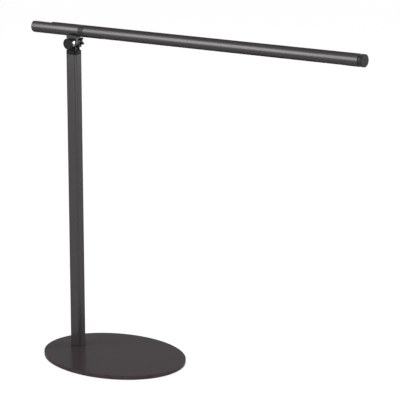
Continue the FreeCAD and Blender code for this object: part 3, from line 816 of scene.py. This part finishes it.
class LAMP_OT_tail(bpy.types.Operator):
    """Tail tube with the groove for its bright strip, and the cap on its end"""
    bl_idname = "lamp.tail"
    bl_label = "Tail"

    def execute(self, context):
        settings = context.scene.lamp_arm
        low, high = extent("tail_tube", ARM)
        radius = high[1]
        plate_low, plate_high = extent("switch_plate", ARM)
        tube = turned_tube(low[0], high[0], radius, radius - settings.wall, settings.rim, ARM)
        half = plate_high[1] + FIT
        groove = self.flat(low[0] - OVERRUN, plate_high[0] + FIT, half, plate_low[2])
        tube = combine(tube, groove, "DIFFERENCE")
        tube = combine(tube, button_hole(settings), "DIFFERENCE")
        piece("tail_shell", tube, "arm", bar_coat(), "bar_black", "tail_tube")
        end = extent("tail_cap", ARM)[0][0]
        face = radius - 2 * settings.tail_rim
        cap = turned([(low[0], radius), (end, radius), (end, face)], [0, settings.tail_rim, 0], ARM)
        groove = self.flat(end - OVERRUN, low[0] + OVERRUN, half, plate_low[2])
        cap = combine(cap, groove, "DIFFERENCE")
        piece("tail_end_cap", cap, "arm", bar_coat(), "bar_black", "tail_cap")
        return {"FINISHED"}

    def flat(self, start, end, half, level):
        """A block above the groove's floor, taller than the tube."""
        tall = 10 * MM
        box = rounded_rectangle(np.array([(start + end) / 2, 0]), np.array([(end - start) / 2, half]), 0)
        return prism(box, level, level + tall, 0, ARM)


class LAMP_OT_switch(bpy.types.Operator):
    """Bright strip in the top of the tail, and the push button in it"""
    bl_idname = "lamp.switch"
    bl_label = "Switch"

    def execute(self, context):
        settings = context.scene.lamp_arm
        low, high = extent("switch_plate", ARM)
        centre, half = (low + high)[:2] / 2, (high - low)[:2] / 2
        plate = prism(rounded_rectangle(centre, half, 3 * settings.rim), low[2], high[2], settings.rim, ARM)
        plate = combine(plate, button_hole(settings), "DIFFERENCE")
        piece("switch_strip", plate, "arm", bright_strip(), "strip_bright", "switch_plate")
        low, high, middle, size = button_place()
        rim, dish_share, dish_rows = settings.button_rim, 0.48, 10
        path, wear_and_sheen = fillet([(0, low[2]), (0, high[2]), (2 * rim, high[2])], [0, rim, 0])
        inset = np.linspace(2 * rim, dish_share * size[1], dish_rows)
        share = (inset - inset[0]) / (inset[-1] - inset[0])
        sunk = settings.button_dish * np.sin(share * math.pi / 2) ** 2
        path = np.concatenate([path, np.stack([inset, high[2] - sunk], -1)[1:]])
        wear_and_sheen = np.concatenate([wear_and_sheen, np.zeros(len(inset) - 1)])
        button = skin(carry(stadium(middle, size[0], size[1]), path), ARM, wear_and_sheen)
        piece("push_button", button, "button", bright_strip(), "strip_bright", "switch_button")
        return {"FINISHED"}


class LAMP_OT_collar(bpy.types.Operator):
    """Dark ring between the tail and the light bar"""
    bl_idname = "lamp.collar"
    bl_label = "Turning ring"

    def execute(self, context):
        settings = context.scene.lamp_arm
        low, high = extent("twist_collar", ARM)
        radius, rim = high[1], 2 * settings.rim
        deep = radius - settings.wall
        corners = [(low[0], deep), (low[0], radius), (high[0], radius), (high[0], deep)]
        ring = turned(corners, [0, rim, rim, 0], ARM)
        piece("turning_ring", ring, "arm", collar_plastic(), "trim_black", "twist_collar")
        return {"FINISHED"}


class LAMP_OT_light_bar(bpy.types.Operator):
    """Light bar with its slot, the opal lens in it and the cap on its free end"""
    bl_idname = "lamp.light_bar"
    bl_label = "Light bar"

    def execute(self, context):
        settings = context.scene.lamp_arm
        low, high = extent("bar_tube", ARM)
        radius = high[1]
        tube = turned_tube(low[0], high[0], radius, radius - settings.wall, settings.rim, ARM)
        lens_low, lens_high = extent("diffuser", ARM)
        centre = np.array([(lens_low[0] + lens_high[0]) / 2, 0])
        reach = np.array([(lens_high[0] - lens_low[0]) / 2 + FIT, settings.slot])
        slot = prism(rounded_rectangle(centre, reach, settings.wall / 2), -2 * radius, 0, 0, ARM)
        tube = combine(tube, slot, "DIFFERENCE")
        piece("light_bar_shell", tube, "bar", bar_coat(), "bar_black", "bar_tube")
        self.lens(lens_low[0], lens_high[0], settings.slot - FIT, radius - FIT, radius - 2 * settings.wall)
        end = extent("bar_end_cap", ARM)[1][0]
        seam = settings.seam
        face = radius - 2 * settings.cap_rim
        start = high[0] + settings.seam_width
        # The cap's side band carries painted side sheen, a painted highlight.
        cap = turned([(start, face), (start, radius), (end, radius), (end, face)],
                     [0, settings.rim, settings.cap_rim, 0], ARM, painted_side_sheen=1.0)
        piece("bar_end", cap, "bar", cap_plastic(), "cap_black", "bar_end_cap")
        neck = turned_tube(high[0], start, radius - seam, radius - 2 * seam, settings.rim, ARM)
        piece("bar_end_seam", neck, "bar", seam_plastic(), "cap_black", "bar_end_cap")
        return {"FINISHED"}

    def lens(self, start, end, half, outer, inner):
        """Strip between two arcs about the bar's axis: the outer one fills the slot flush with the tube."""
        wide, down = math.asin(half / outer), -math.pi / 2
        bow = arc(down - wide, down + wide, COLUMNS // 4)
        section = np.concatenate([bow * outer, (bow * (outer, inner))[::-1]])
        path = np.array([(0.0, start), (0.0, end)])
        rings = carry(section, path)[..., [2, 0, 1]]
        piece("opal_strip", skin(rings, ARM), "bar", opal_lens(), "opal", "diffuser")


class LAMP_OT_inner_pieces(bpy.types.Operator):
    """Finishes of the pieces inside the lamp, which keep their construction shapes"""
    bl_idname = "lamp.inner_pieces"
    bl_label = "Inner pieces"

    def execute(self, context):
        finishes = {
            plain_aluminium: ("foot_insert", "led_carrier", "swivel_journal"),
            zinc_plate: ("foot_screws", "neck_screws", "inlet_nut"),
            turned_steel: ("hinge_bolt", "stop_pin", "journal_clip"),
            bright_brass: ("knob_insert",),
            lead_jacket: ("post_lead", "neck_lead", "tail_lead", "bar_lead"),
            fibre_board: ("friction_washers",),
            component_resin: ("tact_switch", "board_parts", "switch_plunger"),
            solder_mask: ("control_board",),
            ring_rubber: ("friction_ring",),
            bush_plastic: ("bar_bush",),
            white_mask: ("led_board",),
            led_resin: ("led_chips",),
        }
        for make, nodes in finishes.items():
            for node in nodes:
                mesh = frame["nodes"][node].data
                mesh.materials.clear()
                mesh.materials.append(make())
        return {"FINISHED"}


class LAMP_OT_stage(bpy.types.Operator):
    """White floor, soft studio light and the camera at the photograph's angle"""
    bl_idname = "lamp.stage"
    bl_label = "Stage"

    def execute(self, context):
        settings = context.scene.lamp_stage
        self.floor(settings)
        self.sky(settings)
        aim = np.array([0.13, 0.0, 0.44])
        # Name, power, azimuth and elevation in degrees, distance and size in metres
        lights = (
            ("key_light", settings.key, -35, 18, 3.0, (2.5, 2.0)),
            ("fill_light", settings.fill, 142, 12, 2.4, (1.6, 1.2)),
            ("front_light", settings.front, 60, 5, 3.4, (2.4, 1.2)),
        )
        for light in lights:
            self.soft_light(aim, *light)
        self.camera(settings)
        context.scene.view_settings.view_transform = "Standard"
        return {"FINISHED"}

    def background_rays(self, graph):
        """One where the camera, a reflection or a clear part looks at the surface, and zero elsewhere."""
        rays = graph.add("ShaderNodeLightPath").outputs
        seen = rays["Is Camera Ray"]
        for ray in ("Is Glossy Ray", "Is Transmission Ray"):
            seen = graph.add("ShaderNodeMath", {0: seen, 1: rays[ray]}, operation="MAXIMUM").outputs[0]
        return seen

    def floor(self, settings):
        """A white sheet just under the foot, clear when it is looked at from below."""
        reach, level = 12.0, -0.1 * MM
        corners = [(x * reach, y * reach, level) for x, y in ((-1, -1), (1, -1), (1, 1), (-1, 1))]
        mesh = bpy.data.meshes.new("floor")
        mesh.from_pydata(corners, [], [(0, 1, 2, 3)])
        material = bpy.data.materials.new("floor_white")
        material.use_nodes = True
        graph = Graph(material.node_tree)
        material.node_tree.nodes.remove(material.node_tree.nodes["Principled BSDF"])
        matt = graph.add("ShaderNodeBsdfDiffuse", {"Color": (0.92, 0.92, 0.92, 1)})
        glow = graph.add("ShaderNodeEmission", {"Color": (1, 1, 1, 1), "Strength": 1.0})
        share = graph.add("ShaderNodeMath", {0: self.background_rays(graph), 1: settings.floor_white},
                          operation="MULTIPLY")
        blend = {0: share.outputs[0], 1: matt.outputs[0], 2: glow.outputs[0]}
        mixed = graph.add("ShaderNodeMixShader", blend)
        below = graph.add("ShaderNodeNewGeometry").outputs["Backfacing"]
        clear = graph.add("ShaderNodeBsdfTransparent")
        sheet = graph.add("ShaderNodeMixShader", {0: below, 1: mixed.outputs[0], 2: clear.outputs[0]})
        output = material.node_tree.nodes["Material Output"]
        material.node_tree.links.new(sheet.outputs[0], output.inputs[0])
        mesh.materials.append(material)
        floor = bpy.data.objects.new("floor", mesh)
        bpy.context.scene.collection.objects.link(floor)

    def sky(self, settings):
        """Even light from all round, which looks white itself."""
        world = bpy.data.worlds.new("sky")
        world.use_nodes = True
        bpy.context.scene.world = world
        graph = Graph(world.node_tree)
        strength = graph.span(self.background_rays(graph), settings.sky, 1.0)
        background = world.node_tree.nodes["Background"]
        background.inputs["Color"].default_value = (1, 1, 1, 1)
        world.node_tree.links.new(strength, background.inputs["Strength"])

    def soft_light(self, aim, name, power, azimuth, elevation, distance, size):
        """A rectangular lamp at an azimuth from the front, an elevation and a distance, aimed at a point."""
        across, rise = math.radians(azimuth), math.radians(elevation)
        level = math.cos(rise)
        away = np.array([math.sin(across) * level, -math.cos(across) * level, math.sin(rise)])
        light = bpy.data.lights.new(name, "AREA")
        light.shape = "RECTANGLE"
        light.size, light.size_y = size
        light.energy = power
        lamp = bpy.data.objects.new(name, light)
        lamp.location = aim + distance * away
        lamp.rotation_euler = Vector(-away).to_track_quat("-Z", "Y").to_euler()
        bpy.context.scene.collection.objects.link(lamp)

    def camera(self, settings):
        """The camera, with its focal length turned from the photograph's pixels into millimetres."""
        lens = bpy.data.cameras.new("camera")
        lens.sensor_width = SENSOR
        lens.lens = settings.focus * SENSOR / PHOTO_WIDTH
        lens.clip_end = 100.0
        eye = bpy.data.objects.new("camera", lens)
        eye.location = settings.eye
        eye.rotation_euler = (math.pi / 2 - settings.tilt, 0, settings.azimuth)
        bpy.context.scene.collection.objects.link(eye)
        bpy.context.scene.camera = eye


STEPS = (LAMP_OT_stage, LAMP_OT_foot, LAMP_OT_post, LAMP_OT_inlet, LAMP_OT_fork, LAMP_OT_clamp, LAMP_OT_neck,
         LAMP_OT_tail, LAMP_OT_switch, LAMP_OT_collar, LAMP_OT_light_bar, LAMP_OT_inner_pieces)
SETTINGS = {
    "lamp_foot": LampFootSettings,
    "lamp_post": LampPostSettings,
    "lamp_hinge": LampHingeSettings,
    "lamp_arm": LampArmSettings,
    "lamp_stage": LampStageSettings,
}


class LAMP_PT_build(bpy.types.Panel):
    """Sizes and colours of the lamp, and the steps that build it"""
    bl_idname = "LAMP_PT_build"
    bl_label = "LED table lamp"
    bl_space_type = "VIEW_3D"
    bl_region_type = "UI"
    bl_category = "Lamp"

    def draw(self, context):
        for name, group in SETTINGS.items():
            box = self.layout.box()
            for field in group.__annotations__:
                box.prop(getattr(context.scene, name), field)
        for step in STEPS:
            self.layout.operator(step.bl_idname)


def register():
    for kind in (*SETTINGS.values(), *STEPS, LAMP_PT_build):
        bpy.utils.register_class(kind)
    for name, group in SETTINGS.items():
        setattr(bpy.types.Scene, name, PointerProperty(type=group))


def unregister():
    for name in SETTINGS:
        delattr(bpy.types.Scene, name)
    for kind in reversed((*SETTINGS.values(), *STEPS, LAMP_PT_build)):
        bpy.utils.unregister_class(kind)


def main():
    register()
    for step in STEPS:
        getattr(bpy.ops.lamp, step.bl_idname.split(".")[1])()


if __name__ == "__main__":
    main()
